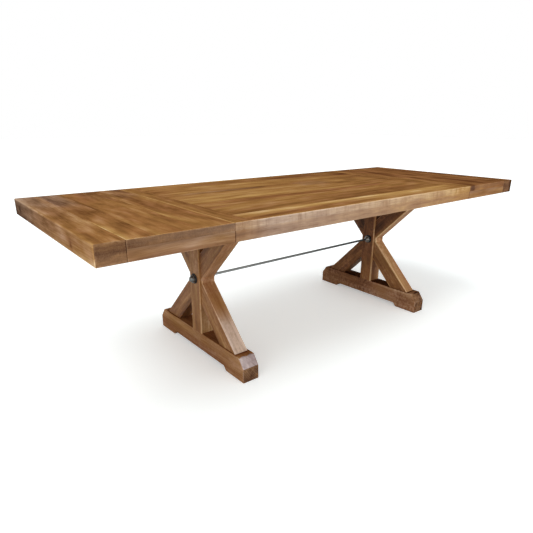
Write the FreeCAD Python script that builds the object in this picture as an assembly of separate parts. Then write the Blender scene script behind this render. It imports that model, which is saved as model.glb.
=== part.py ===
import FreeCAD, Part
import math
import os

# Extendable dining table. A planked main top stands on two trestles with K-shaped braces,
# an iron tie rod joins the trestles, and a leaf at each end rides on pull-out runners.
# Millimetres. X runs along the table, -Y is the front, Z is up.
# The origin is on the floor under the middle of the table.

Vector = FreeCAD.Vector

# Overall sizes
table_length = 2600.0
table_width = 1040.0
table_height = 762.0
edge_height = 72.0
leaf_length = 500.0

# Boards of the main top, from the front to the back
board_thickness = 30.0
board_arris = 1.2
main_board_shares = (0.12, 0.185, 0.185, 0.195, 0.175, 0.14)
end_board_width = 70.0
tongue_thickness = 10.0
tongue_length = 14.0
tongue_shoulder = 25.0
joint_play = 0.2

# Strips glued under the edge of the boards
apron_thickness = 28.0

# Boards of a leaf, from the seam outwards to the end beam
leaf_board_shares = (0.35, 0.41, 0.24)
leaf_beam_width = 100.0
leaf_beam_arris = 2.0
leaf_batten_width = 60.0
leaf_batten_thickness = 20.0
leaf_batten_setback = 12.0

# Dowels that line a leaf up with the main top
dowel_diameter = 10.0
dowel_length = 50.0
dowel_reach = 20.0
dowel_tip = 1.0
dowel_play = 0.08
dowel_end_play = 2.0
dowel_place_shares = (-0.8, -0.3, 0.3, 0.8)

# Runners under the leaves, and the rails that guide them
lane_place = 300.0
runner_width = 36.0
runner_reach = 390.0
runner_hold = 390.0
runner_play = 0.3
guide_width = 32.0
guide_height = 30.0
finger_groove_radius = 9.0
finger_groove_setback = 26.0
keeper_width = 30.0
keeper_setback = 45.0
peg_diameter = 10.0
peg_rise = 10.0
peg_play = 0.3
batten_width = 70.0

# Trestles
trestle_setback = 160.0
stock_width = 86.0
foot_length = 780.0
foot_height = 112.0
foot_end_height = 66.0
foot_chamfer_run = 34.0
foot_round = 10.0
pad_length = 138.0
pad_slope_run = 18.0
foot_relief = 20.0
trestle_arris = 2.0
brace_thickness = 70.0
brace_width = 90.0
brace_angle = 45.0
waist_land = 13.0
rail_length = 710.0
rail_height = 38.0
rail_chamfer = 12.0
post_tenon_width = 46.0
post_tenon_breadth = 40.0
post_tenon_depth = 60.0
post_tenon_rise = 26.0
brace_tenon_width = 30.0
brace_tenon_breadth = 44.0
brace_tenon_depth = 18.0

# Iron tie rod with its washers and nuts
rod_diameter = 12.0
rod_play = 0.5
washer_diameter = 50.0
washer_thickness = 3.5
washer_bevel = 1.0
nut_sides = 6
nut_flats = 36.0
nut_height = 11.0
nut_dome_height = 13.0
nut_bevel = 1.6
thread_play = 0.1
rod_end_gap = 2.0

# One overrun for all cuts, and the tolerance for picking edges
overrun = 2.0
pick_tolerance = 0.01

# Places that follow from the sizes above
half_length = table_length / 2
half_width = table_width / 2
main_half = half_length - leaf_length
boards_bottom = table_height - board_thickness
boards_middle = table_height - board_thickness / 2
edge_bottom = table_height - edge_height
long_board_half = main_half - end_board_width
guide_bottom = boards_bottom - guide_height
guide_end = main_half - apron_thickness
lane_half = runner_width / 2 + runner_play
runner_bottom = guide_bottom + runner_play
runner_top = boards_bottom - runner_play
runner_tip = main_half + runner_reach
runner_tail = main_half - runner_hold
keeper_place = runner_tail + keeper_setback
leaf_beam_inner = half_length - leaf_beam_width
stock_half = stock_width / 2
trestle_place = main_half - trestle_setback
rail_bottom = guide_bottom - rail_height
waist_height = (foot_height + rail_bottom) / 2
foot_half = foot_length / 2
pad_inner = foot_half - pad_length
brace_run = math.tan(math.radians(brace_angle))
brace_slant = brace_width * math.hypot(brace_run, 1)
rod_height = waist_height

SIDES = (("left", -1), ("right", 1))
EDGES = (("front", -1), ("back", 1))


def block(xs, ys, zs):
    """Box between three pairs of limits, given in any order."""
    x, y, z = sorted(xs), sorted(ys), sorted(zs)
    return Part.makeBox(x[1] - x[0], y[1] - y[0], z[1] - z[0], Vector(x[0], y[0], z[0]))


def around(middle, size):
    """Limits of a size centred on a place."""
    return middle - size / 2, middle + size / 2


def mirrored(side, limits):
    """Limits on the right side or front side, turned to the side asked for."""
    return side * limits[0], side * limits[1]


def prism_x(outline, xs):
    """Outline of (y, z) points drawn out along X."""
    x0, x1 = sorted(xs)
    points = [Vector(x0, y, z) for y, z in outline]
    face = Part.Face(Part.makePolygon(points + points[:1]))
    return face.extrude(Vector(x1 - x0, 0, 0))


def near(a, b):
    return abs(a - b) < pick_tolerance


def edges_at(shape, **places):
    """Edges whose ends all lie at the places given, such as Z=0."""
    return [e for e in shape.Edges
            if all(near(getattr(v, axis), place) for v in e.Vertexes for axis, place in places.items())]


def eased_at(shape, size, **places):
    return shape.makeChamfer(size, edges_at(shape, **places))


def running_along(shape, axis):
    """Straight edges that run along one axis."""
    found = []
    for edge in shape.Edges:
        a, b = edge.Vertexes[0].Point, edge.Vertexes[-1].Point
        if all(near(a[i], b[i]) for i in range(len(a)) if i != axis):
            found.append(edge)
    return found


def cylinder_along(direction, centre, radius, length):
    return Part.makeCylinder(radius, length, centre, direction)


def save(name, shape):
    shape.exportStep("parts/" + name + ".step")


def group(solids):
    return Part.makeCompound(solids)


def shares_to_limits(start, size, shares):
    """Limits of pieces laid side by side along a size."""
    limits = []
    for share in shares:
        limits.append((start, start + size * share))
        start += size * share
    return limits


# Main top

def tongue_bar(side, play=0.0):
    """Tongue that joins the long boards to an end board; play makes its groove."""
    start = long_board_half - (overrun if play else 0)
    return block(mirrored(side, (start, long_board_half + tongue_length + play)),
                 (-half_width + tongue_shoulder - play, half_width - tongue_shoulder + play),
                 around(boards_middle, tongue_thickness + 2 * play))


def main_boards():
    boards = []
    for ys in shares_to_limits(-half_width, table_width, main_board_shares):
        board = block((-long_board_half, long_board_half), ys, (boards_bottom, table_height))
        board = eased_at(board, board_arris, Z=table_height)
        for _, side in SIDES:
            column = block((-half_length, half_length), ys, (edge_bottom, table_height))
            board = board.fuse(tongue_bar(side).common(column))
        boards.append(board.removeSplitter())
    return boards


def dowel_places():
    return [share * half_width for share in dowel_place_shares]


def dowel(side, y, play=0.0):
    """Dowel across the seam of a leaf; play makes its hole in the main top."""
    start = main_half - dowel_reach - (dowel_end_play if play else 0)
    length = dowel_length + (dowel_end_play if play else 0)
    rod = cylinder_along(Vector(side, 0, 0), Vector(side * start, y, boards_middle),
                         dowel_diameter / 2 + play, length)
    if play:
        return rod
    return eased_at(rod, dowel_tip, X=side * start)


def main_end_board(side):
    board = block(mirrored(side, (long_board_half, main_half)),
                  (-half_width, half_width), (boards_bottom, table_height))
    board = eased_at(board, board_arris, Z=table_height)
    board = board.cut(tongue_bar(side, joint_play))
    return board.cut([dowel(side, y, dowel_play) for y in dowel_places()])


def apron_limits(edge):
    return mirrored(edge, (half_width - apron_thickness, half_width))


def main_apron(edge):
    strip = block((-main_half, main_half), apron_limits(edge), (edge_bottom, boards_bottom))
    return eased_at(strip, board_arris, Z=edge_bottom, Y=edge * half_width)


def main_end_apron(side):
    inner = half_width - apron_thickness
    strip = block(mirrored(side, (guide_end, main_half)), (-inner, inner), (edge_bottom, boards_bottom))
    for _, edge in EDGES:
        notch = block(mirrored(side, (guide_end - overrun, main_half + overrun)),
                      around(edge * lane_place, 2 * lane_half),
                      (guide_bottom, boards_bottom + overrun))
        strip = strip.cut(notch)
    return strip


# Rails, keepers and runners

def guide_middles(edge):
    offset = lane_half + guide_width / 2
    return {"inner": edge * (lane_place - offset), "outer": edge * (lane_place + offset)}


def guide_rail(y):
    return block((-guide_end, guide_end), around(y, guide_width), (guide_bottom, boards_bottom))


def peg(side, edge):
    """Stop peg that stands up from a keeper into the groove of a runner."""
    return Part.makeCylinder(peg_diameter / 2, guide_bottom + peg_rise - edge_bottom,
                             Vector(side * keeper_place, edge * lane_place, edge_bottom))


def keeper(side):
    reach = lane_place + lane_half + guide_width
    strip = block(around(side * keeper_place, keeper_width), (-reach, reach), (edge_bottom, guide_bottom))
    return strip.cut([peg(side, edge) for _, edge in EDGES])


def cross_batten(middle):
    """Batten across the boards between the inner guides; two of them sit on the trestles."""
    reach = lane_place - lane_half - guide_width
    return block(around(middle, batten_width), (-reach, reach), (guide_bottom, boards_bottom))


def stop_groove(side, edge):
    """Groove under a runner, as long as its travel, with round ends."""
    radius = peg_diameter / 2 + peg_play
    depth = peg_rise + peg_play
    base = guide_bottom - overrun
    ends = (keeper_place, keeper_place + runner_reach)
    slot = block(mirrored(side, ends), around(edge * lane_place, 2 * radius), (base, guide_bottom + depth))
    for end in ends:
        slot = slot.fuse(Part.makeCylinder(radius, depth + overrun,
                                           Vector(side * end, edge * lane_place, base)))
    return slot


def runner(side, edge):
    bar = block(mirrored(side, (runner_tail, runner_tip)), around(edge * lane_place, runner_width),
                (runner_bottom, runner_top))
    bar = eased_at(bar, board_arris, X=side * runner_tip)
    grip = cylinder_along(Vector(0, 1, 0),
                          Vector(side * (runner_tip - finger_groove_setback),
                                 edge * lane_place - runner_width / 2 - overrun, runner_bottom),
                          finger_groove_radius, runner_width + 2 * overrun)
    return bar.cut([stop_groove(side, edge), grip])


# Leaves

def leaf_board_limits():
    return shares_to_limits(main_half, leaf_beam_inner - main_half, leaf_board_shares)


def leaf_boards(side):
    boards = []
    for xs in leaf_board_limits():
        board = block(mirrored(side, xs), (-half_width, half_width), (boards_bottom, table_height))
        boards.append(eased_at(board, board_arris, Z=table_height))
    boards[0] = boards[0].cut([dowel(side, y, dowel_play) for y in dowel_places()])
    return boards


def leaf_beam(side):
    beam = block(mirrored(side, (leaf_beam_inner, half_length)), (-half_width, half_width),
                 (edge_bottom, table_height))
    beam = eased_at(beam, leaf_beam_arris, X=side * half_length)
    return eased_at(beam, board_arris, Z=table_height, X=side * leaf_beam_inner)


def leaf_apron(side, edge):
    return block(mirrored(side, (main_half, leaf_beam_inner)), apron_limits(edge),
                 (edge_bottom, boards_bottom))


def leaf_batten(side):
    return block(mirrored(side, (main_half + leaf_batten_setback, leaf_beam_inner)),
                 around(0, leaf_batten_width), (boards_bottom - leaf_batten_thickness, boards_bottom))


# Trestles

def mortise(xs, ys, zs, open_end):
    """Pocket for a tenon, wider by the joint play and open at the face it enters."""
    z0, z1 = sorted(zs)
    if open_end > 0:
        z0, z1 = z0 - joint_play, z1 + overrun
    else:
        z0, z1 = z0 - overrun, z1 + joint_play
    return block((xs[0] - joint_play, xs[1] + joint_play), (ys[0] - joint_play, ys[1] + joint_play), (z0, z1))


def post_tenons(x):
    xs, ys = around(x, post_tenon_width), around(0, post_tenon_breadth)
    return {"foot": (xs, ys, (foot_height - post_tenon_depth, foot_height)),
            "rail": (xs, ys, (rail_bottom, rail_bottom + post_tenon_rise))}


def brace_landing(level):
    """Outer and inner edge of a brace where it meets the foot or the rail."""
    outer = stock_half + abs(waist_height - level) * brace_run
    return outer, outer - brace_slant


def brace_tenon(x, edge, upper):
    level = rail_bottom if upper else foot_height
    depth = brace_tenon_depth if upper else -brace_tenon_depth
    outer, inner = brace_landing(level)
    middle = edge * (outer + inner) / 2
    return around(x, brace_tenon_width), around(middle, brace_tenon_breadth), (level, level + depth)


def foot(x):
    half, run = foot_half, foot_chamfer_run
    rise = (pad_inner, 0), (pad_inner - pad_slope_run, foot_relief)
    outline = [(-half, 0), (-half, foot_end_height), (-half + run, foot_height),
               (half - run, foot_height), (half, foot_end_height), (half, 0)]
    outline += [rise[0], rise[1], (-rise[1][0], foot_relief), (-rise[0][0], 0)]
    bar = prism_x(outline, around(x, stock_width))
    corners = [e for e in running_along(bar, 0)
               if e.Vertexes[0].Z > foot_end_height - pick_tolerance]
    bar = bar.makeFillet(foot_round, corners)
    for face_x in around(x, stock_width):
        bar = eased_at(bar, trestle_arris, X=face_x)
    pockets = [mortise(*post_tenons(x)["foot"], 1)]
    pockets += [mortise(*brace_tenon(x, edge, False), 1) for _, edge in EDGES]
    return bar.cut(pockets)


def top_rail(x):
    half = rail_length / 2
    outline = [(-half, guide_bottom), (half, guide_bottom), (half, rail_bottom + rail_chamfer),
               (half - rail_chamfer, rail_bottom), (-half + rail_chamfer, rail_bottom),
               (-half, rail_bottom + rail_chamfer)]
    bar = prism_x(outline, around(x, stock_width))
    pockets = [mortise(*post_tenons(x)["rail"], -1)]
    pockets += [mortise(*brace_tenon(x, edge, True), -1) for _, edge in EDGES]
    return bar.cut(pockets)


def post(x):
    bar = block(around(x, stock_width), around(0, stock_width), (foot_height, rail_bottom))
    bar = bar.makeChamfer(trestle_arris, running_along(bar, 2))
    for limits in post_tenons(x).values():
        bar = bar.fuse(block(*limits))
    bore = cylinder_along(Vector(1, 0, 0), Vector(x - stock_half - overrun, 0, rod_height),
                          rod_diameter / 2 + rod_play, stock_width + 2 * overrun)
    return bar.removeSplitter().cut(bore)


def brace(x, edge, upper):
    """Brace from the waist of the post out to the foot or up to the rail."""
    level = rail_bottom if upper else foot_height
    turn = 1 if upper else -1
    outer, inner = brace_landing(level)
    seat = waist_height + turn * brace_slant / brace_run
    land = stock_half + waist_land
    land_end = waist_height + turn * waist_land / brace_run
    outline = [(stock_half, waist_height), (land, waist_height), (land, land_end),
               (outer, level), (inner, level), (stock_half, seat)]
    bar = prism_x([(edge * y, z) for y, z in outline], around(x, brace_thickness))
    long_edges = [e for e in bar.Edges if not near(e.Vertexes[0].Z, e.Vertexes[-1].Z)
                  and not all(near(v.Y, edge * stock_half) for v in e.Vertexes)]
    bar = bar.makeChamfer(trestle_arris, long_edges)
    return bar.fuse(block(*brace_tenon(x, edge, upper))).removeSplitter()


# Tie rod

def face_places():
    """Where the rod leaves a post: (place, outward direction, outer face or not)."""
    places = []
    for _, side in SIDES:
        x = side * trestle_place
        places.append((x + side * stock_half, side, True))
        places.append((x - side * stock_half, -side, False))
    return places


def rod_end():
    return trestle_place + stock_half + washer_thickness + nut_height


def tie_rod():
    return cylinder_along(Vector(1, 0, 0), Vector(-rod_end(), 0, rod_height), rod_diameter / 2, 2 * rod_end())


def washer(place, direction):
    axis = Vector(direction, 0, 0)
    disc = cylinder_along(axis, Vector(place, 0, rod_height), washer_diameter / 2, washer_thickness)
    disc = eased_at(disc, washer_bevel, X=place + direction * washer_thickness)
    bore = cylinder_along(axis, Vector(place - direction * overrun, 0, rod_height),
                          rod_diameter / 2 + rod_play, washer_thickness + 2 * overrun)
    return disc.cut(bore)


def nut(place, direction, closed):
    """Domed hexagon nut; the two inner ones let the rod pass through."""
    axis = Vector(direction, 0, 0)
    base = place + direction * washer_thickness
    corner = nut_flats / 2 / math.cos(math.pi / nut_sides)
    turns = [2 * math.pi * i / nut_sides for i in range(nut_sides)]
    ring = [Vector(base, corner * math.cos(turn), rod_height + corner * math.sin(turn)) for turn in turns]
    hexagon = Part.Face(Part.makePolygon(ring + ring[:1])).extrude(axis * nut_height)
    limit = cylinder_along(axis, Vector(base, 0, rod_height), corner, nut_height)
    rims = [e for e in limit.Edges if e.Closed]
    hexagon = hexagon.common(limit.makeChamfer(nut_bevel, rims))
    dome_radius = nut_flats / 2 - nut_bevel
    ball = (dome_radius ** 2 + nut_dome_height ** 2) / (2 * nut_dome_height)
    face_x = base + direction * nut_height
    centre = Vector(face_x + direction * (nut_dome_height - ball), 0, rod_height)
    keep = cylinder_along(axis, Vector(face_x, 0, rod_height), corner, nut_dome_height + overrun)
    dome = Part.makeSphere(ball, centre, axis).common(keep)
    body = hexagon.fuse(dome).removeSplitter()
    depth = nut_height + rod_end_gap if closed else nut_height + nut_dome_height + overrun
    bore = cylinder_along(axis, Vector(base - direction * overrun, 0, rod_height),
                          rod_diameter / 2 + thread_play, depth + overrun)
    return body.cut(bore)


def save_main_top():
    for number, board in enumerate(main_boards(), 1):
        save("main_board_%d" % number, board)
    for name, side in SIDES:
        save("main_end_board_" + name, main_end_board(side))
        save("main_end_apron_" + name, main_end_apron(side))
        save("runner_keeper_" + name, keeper(side))
    for name, edge in EDGES:
        save("main_apron_" + name, main_apron(edge))
        for place, y in guide_middles(edge).items():
            save("guide_rail_%s_%s" % (name, place), guide_rail(y))
    places = (-trestle_place, 0, trestle_place)
    save("cross_battens", group([cross_batten(place) for place in places]))
    save("runner_stop_pegs", group([peg(side, edge) for _, side in SIDES for _, edge in EDGES]))


def save_leaf(name, side):
    for number, board in enumerate(leaf_boards(side), 1):
        save("leaf_%s_board_%d" % (name, number), board)
    save("leaf_%s_end_beam" % name, leaf_beam(side))
    for edge_name, edge in EDGES:
        save("leaf_%s_apron_%s" % (name, edge_name), leaf_apron(side, edge))
        save("runner_%s_%s" % (name, edge_name), runner(side, edge))
    save("leaf_%s_batten" % name, leaf_batten(side))
    save("leaf_%s_dowels" % name, group([dowel(side, y) for y in dowel_places()]))


def save_trestle(name, side):
    x = side * trestle_place
    save("trestle_%s_foot" % name, foot(x))
    save("trestle_%s_post" % name, post(x))
    save("trestle_%s_top_rail" % name, top_rail(x))
    for edge_name, edge in EDGES:
        save("trestle_%s_lower_brace_%s" % (name, edge_name), brace(x, edge, False))
        save("trestle_%s_upper_brace_%s" % (name, edge_name), brace(x, edge, True))


def save_tie_rod():
    save("tie_rod", tie_rod())
    save("rod_washers", group([washer(place, direction) for place, direction, _ in face_places()]))
    save("rod_nuts", group([nut(place, direction, outer) for place, direction, outer in face_places()]))


def main():
    os.makedirs("parts", exist_ok=True)
    save_main_top()
    for name, side in SIDES:
        save_leaf(name, side)
        save_trestle(name, side)
    save_tie_rod()


main()
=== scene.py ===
import math
import bpy
import bmesh
from collections import namedtuple
from mathutils import Matrix, Vector


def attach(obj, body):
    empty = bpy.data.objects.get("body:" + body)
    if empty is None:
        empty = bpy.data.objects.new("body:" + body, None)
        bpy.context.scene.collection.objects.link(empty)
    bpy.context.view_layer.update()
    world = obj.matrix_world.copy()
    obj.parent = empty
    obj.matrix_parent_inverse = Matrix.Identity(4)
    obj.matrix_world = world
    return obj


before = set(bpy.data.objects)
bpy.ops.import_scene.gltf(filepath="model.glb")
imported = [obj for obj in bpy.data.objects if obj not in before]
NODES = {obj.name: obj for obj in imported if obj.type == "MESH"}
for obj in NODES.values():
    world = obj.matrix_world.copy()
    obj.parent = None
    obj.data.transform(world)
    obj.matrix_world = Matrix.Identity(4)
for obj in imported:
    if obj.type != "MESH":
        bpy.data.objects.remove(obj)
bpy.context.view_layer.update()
scene = bpy.context.scene

SIDES = ("left", "right")
EDGES = ("front", "back")


# Places read from the nodes, in metres

MITRE_REACH = 0.03


def turned(grain, x, y, z):
    """Along, across and through the grain; grain is an axis or a brace's slope in the YZ plane."""
    if grain == "X":
        return x, y, z
    if grain == "Y":
        return y, x, z
    if grain == "Z":
        return z, x, y
    c, s = math.cos(grain), math.sin(grain)
    return y * c + z * s, z * c - y * s, x


def node_limits(node_name, grain=None, mitre=None):
    """Lowest and highest of a node on X, Y and Z, or along, across and through a grain.

    mitre: height of a mitred end, whose corners don't count.
    """
    corners = [vertex.co for vertex in NODES[node_name].data.vertices]
    if mitre:
        corners = [c for c in corners if abs(c.z - mitre) > MITRE_REACH]
    places = [turned(grain, *c) if grain else tuple(c) for c in corners]
    return [(min(p[i] for p in places), max(p[i] for p in places)) for i in range(3)]


def middle(limits):
    return (limits[0] + limits[1]) / 2


BOARDS_BOTTOM = node_limits("main_board_1")[2][0]
WAIST = middle(node_limits("tie_rod")[2])
FOOT_END = node_limits("trestle_left_foot")[1][1]
FOOT_TOP = node_limits("trestle_left_foot")[2][1]
FOOT_END_HEIGHT = 0.066
FOOT_CHAMFER_RUN = 0.034


# Colours

def linear(r, g, b):
    """Linear colour from an sRGB one given as 0 to 255."""
    out = []
    for c in (r / 255, g / 255, b / 255):
        out.append(c / 12.92 if c <= 0.04045 else ((c + 0.055) / 1.055) ** 2.4)
    return tuple(out) + (1.0,)


def shades(*colours):
    """Stops of a ramp, at equal steps from 0 to 1."""
    return tuple((k / (len(colours) - 1), linear(*colour)) for k, colour in enumerate(colours))


# Node trees written as sums

class Value:
    """A number or a vector in a node tree; arithmetic on it adds math nodes."""

    def __init__(self, tree, socket):
        self.tree = tree
        self.socket = socket

    def __add__(self, other):
        return self.tree.math("ADD", self, other)

    def __sub__(self, other):
        return self.tree.math("SUBTRACT", self, other)

    def __rsub__(self, other):
        return self.tree.math("SUBTRACT", other, self)

    def __mul__(self, other):
        return self.tree.math("MULTIPLY", self, other)

    def __truediv__(self, other):
        return self.tree.math("DIVIDE", self, other)

    def __neg__(self):
        return self * -1.0

    def __abs__(self):
        return self.tree.math("ABSOLUTE", self)


class Tree:
    """A node tree whose nodes are made by method calls."""

    def __init__(self, node_tree):
        self.nodes = node_tree.nodes
        self.links = node_tree.links
        self.nodes.clear()

    def put(self, target, value):
        if isinstance(value, Value):
            self.links.new(value.socket, target)
        else:
            target.default_value = value

    def node(self, kind, **settings):
        node = self.nodes.new(kind)
        for key, value in settings.items():
            setattr(node, key, value)
        return node

    def math(self, operation, a, b=None, c=None):
        node = self.node("ShaderNodeMath", operation=operation)
        for slot, value in enumerate((a, b, c)):
            if value is not None:
                self.put(node.inputs[slot], value)
        return Value(self, node.outputs[0])

    def least(self, a, b):
        return self.math("MINIMUM", a, b)

    def most(self, a, b):
        return self.math("MAXIMUM", a, b)

    def step(self, value, low, high):
        """Smooth step: 0 at low and 1 at high; low may be the greater number."""
        node = self.node("ShaderNodeMapRange", interpolation_type="SMOOTHSTEP")
        for name, item in (("Value", value), ("From Min", low), ("From Max", high)):
            self.put(node.inputs[name], item)
        return Value(self, node.outputs["Result"])

    def vector(self, x, y, z):
        node = self.node("ShaderNodeCombineXYZ")
        for slot, item in enumerate((x, y, z)):
            self.put(node.inputs[slot], item)
        return Value(self, node.outputs[0])

    def length(self, x, y, z):
        node = self.node("ShaderNodeVectorMath", operation="LENGTH")
        self.put(node.inputs[0], self.vector(x, y, z))
        return Value(self, node.outputs["Value"])

    def split(self, vector):
        node = self.node("ShaderNodeSeparateXYZ")
        self.put(node.inputs[0], vector)
        return [Value(self, socket) for socket in node.outputs]

    def noise(self, point, detail=2.0, roughness=0.5, scale=1.0):
        """Noise around 0, mostly between -0.6 and 0.6."""
        node = self.node("ShaderNodeTexNoise")
        self.put(node.inputs["Vector"], point)
        for name, item in (("Scale", scale), ("Detail", detail), ("Roughness", roughness)):
            node.inputs[name].default_value = item
        return self.math("MULTIPLY_ADD", Value(self, node.outputs["Fac"]), 2.0, -1.0)

    def ramp(self, value, stops):
        node = self.node("ShaderNodeValToRGB")
        self.put(node.inputs[0], value)
        marks = node.color_ramp.elements
        while len(marks) < len(stops):
            marks.new(0.5)
        for mark, (place, colour) in zip(marks, stops):
            mark.position = place
            mark.color = colour
        return Value(self, node.outputs["Color"])

    def mix(self, share, a, b):
        """Colour a where share is 0 or less, and b where it is 1 or more."""
        node = self.node("ShaderNodeMix", data_type="RGBA", clamp_factor=True)
        for slot, item in ((0, share), (6, a), (7, b)):
            self.put(node.inputs[slot], item)
        return Value(self, node.outputs[2])

    def bump(self, height, distance, strength):
        node = self.node("ShaderNodeBump")
        node.inputs["Strength"].default_value = strength
        node.inputs["Distance"].default_value = distance
        self.put(node.inputs["Height"], height)
        return Value(self, node.outputs["Normal"])

    def use(self, group, *items):
        """Adds a group; its outputs come back in order."""
        node = self.node("ShaderNodeGroup", node_tree=group)
        for slot, item in enumerate(items):
            self.put(node.inputs[slot], item)
        return [Value(self, socket) for socket in node.outputs]

    def coordinates(self):
        """Place on the piece and normal of the face, as vectors that ride with the piece."""
        source = self.node("ShaderNodeTexCoord")
        return [Value(self, source.outputs[name]) for name in ("Object", "Normal")]

    def finish(self, shader, kind="ShaderNodeOutputMaterial"):
        self.links.new(shader.outputs[0], self.node(kind).inputs["Surface"])


def make_group(name, inputs, outputs, build):
    """Node group from a function of its inputs; names that end in colour are colours."""
    node_tree = bpy.data.node_groups.new(name, "ShaderNodeTree")
    for names, way in ((inputs, "INPUT"), (outputs, "OUTPUT")):
        for item in names:
            kind = "NodeSocketColor" if item.endswith("colour") else "NodeSocketFloat"
            node_tree.interface.new_socket(item, in_out=way, socket_type=kind)
    tree = Tree(node_tree)
    entry = tree.node("NodeGroupInput")
    leave = tree.node("NodeGroupOutput")
    results = build(tree, *[Value(tree, socket) for socket in entry.outputs[:len(inputs)]])
    for slot, item in enumerate(results):
        tree.put(leave.inputs[slot], item)
    return node_tree


def make_material(name):
    material = bpy.data.materials.new(name)
    material.use_nodes = True
    return material, Tree(material.node_tree)


def surface(tree, colour, roughness, normal, **constants):
    shader = tree.node("ShaderNodeBsdfPrincipled")
    tree.put(shader.inputs["Base Color"], colour)
    tree.put(shader.inputs["Roughness"], roughness)
    tree.put(shader.inputs["Normal"], normal)
    for key, item in constants.items():
        shader.inputs[key.replace("_", " ")].default_value = item
    tree.finish(shader)


def dress(node_names, material):
    for node_name in node_names:
        for slot in NODES[node_name].material_slots:
            slot.material = material


# Wood: colours from dark to light

GOLDEN = shades((48, 27, 14), (103, 66, 35), (149, 107, 60), (183, 143, 86), (224, 192, 138))
RUSSET = shades((48, 27, 17), (104, 61, 37), (149, 97, 60), (184, 133, 92), (224, 184, 146))
ASHEN = shades((46, 36, 30), (96, 76, 63), (143, 117, 100), (185, 162, 149), (228, 208, 196))
# Lilac grey, reached where ash passes LILAC_FROM, paints a reflection: the sheen on the left foot's front
# chamfer
LILAC = shades((50, 42, 40), (104, 88, 86), (150, 131, 128), (190, 172, 170), (230, 215, 212))
PORE_COLOUR = linear(44, 26, 15)
LILAC_FROM = 1.2
PORE_COVER = 0.35

# Layers of grain: waves per metre along and across it
BROAD_WAVES = (1.6, 13.0)
STREAK_WAVES = (3.0, 46.0)
FINE_WAVES = (12.0, 240.0)
FIBRE_WAVES = (34.0, 1100.0)
MOTTLE_WAVES = (6.5, 20.0)
PORE_WAVES = (60.0, 900.0)
PORE_LEVELS = (0.40, 0.62)

# How the grain wanders: waves per metre of its two noises along the board and of both across it
WANDER_WAVES = (0.9, 1.1)
WANDER_CROSS_WAVES = 2.0
WANDER_SHIFT = 9.0
WANDER_REACH = 0.024

# Growth rings: each darkens slowly and ends fast, and noise makes them uneven
RING_SPACING = 0.0075
RING_DARKENS = (0.0, 0.72)
RING_ENDS = (0.84, 1.0)
RING_BROAD = 0.8
RING_YEARS = 1.1
YEAR_WAVES = 70.0

# Knots: shares that count of the distance along and through the board, and sizes in radii
PULL_SHAPE = (0.4, 0.5)
PULL_SIZE = 3.0
PULL_SHARE = 0.8
KNOT_SHAPE = (0.6, 0.5)
KNOT_FRAY = 0.3
CORE_FULL = 0.5
HALO_BEGINS = 2.6
HALO_FULL = 0.7

# Soft streaks, across and along: how far the grain frays them and where they are full, in half sizes
BAND_FRAY = (0.5, 0.35)
BAND_FULL = (0.3, 0.4)

# Sawn edges of the top: waves per metre along and across the edge, and shares in its pattern
SAWN_STREAK_WAVES = (4.0, 70.0)
SAWN_BLOTCH_WAVES = (9.0, 26.0)
COARSE_MARK_WAVES = (46.0, 8.0)
FINE_MARK_WAVES = (170.0, 14.0)
MARK_PLACE_WAVES = 5.0
MARK_PLACE_LEVELS = (-0.35, 0.2)
STREAK_SHARE = 0.35
BLOTCH_SHARE = 0.5
COARSE_SHARE = 0.6
FINE_SHARE = 0.4
PALE_MARK_SHARE = 0.3
# Distances from the middle of the table where its long edges begin to darken and where they have
JOINT_FADE = (0.62, 0.79)


def build_wander(t, u, v, w, seed):
    """The grain wanders slowly along a board."""
    cross = WANDER_CROSS_WAVES
    a = t.noise(t.vector(u * WANDER_WAVES[0] + seed, v * cross, w * cross), detail=1.0)
    b = t.noise(t.vector(u * WANDER_WAVES[1] - seed, v * cross + WANDER_SHIFT, w * cross), detail=1.0)
    return v + a * WANDER_REACH, w + b * WANDER_REACH


def build_pull(t, u, v, w, ku, kv, kw, size):
    """Grain lines swerve round a knot: the change to add across the grain."""
    away = t.length((u - ku) * PULL_SHAPE[0], v - kv, (w - kw) * PULL_SHAPE[1]) / (size * PULL_SIZE)
    pull = t.math("EXPONENT", -(away * away))
    return ((kv - v) * pull * PULL_SHARE,)


def build_fields(t, u, v, w, seed, heart_v, heart_w, spacing):
    """Streaks, figure, fibres, growth rings and pores of solid wood."""

    def layer(waves, shift, **looks):
        """Noise drawn out along the grain."""
        return t.noise(t.vector(u * waves[0] + shift, v * waves[1], w * waves[1]), **looks)

    broad = layer(BROAD_WAVES, seed)
    streak = layer(STREAK_WAVES, -seed, detail=3.0, roughness=0.6)
    fine = layer(FINE_WAVES, seed, roughness=0.6)
    fibre = layer(FIBRE_WAVES, 0.0, detail=1.0)
    mottle = layer(MOTTLE_WAVES, seed, detail=2.5, roughness=0.55)
    reach = t.length(0.0, v - heart_v, w - heart_w)
    years = t.noise(t.vector(reach * YEAR_WAVES, seed, 0.0), detail=1.0)
    phase = t.math("FRACT", reach / spacing + broad * RING_BROAD + years * RING_YEARS)
    rings = t.step(phase, *RING_DARKENS) - t.step(phase, *RING_ENDS)
    # Half as strong where the ring is pale
    pores = t.step(layer(PORE_WAVES, seed, detail=0.0), *PORE_LEVELS) * (rings * 0.5 + 0.5)
    return broad, streak, fine, fibre, mottle, rings, pores


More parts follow.
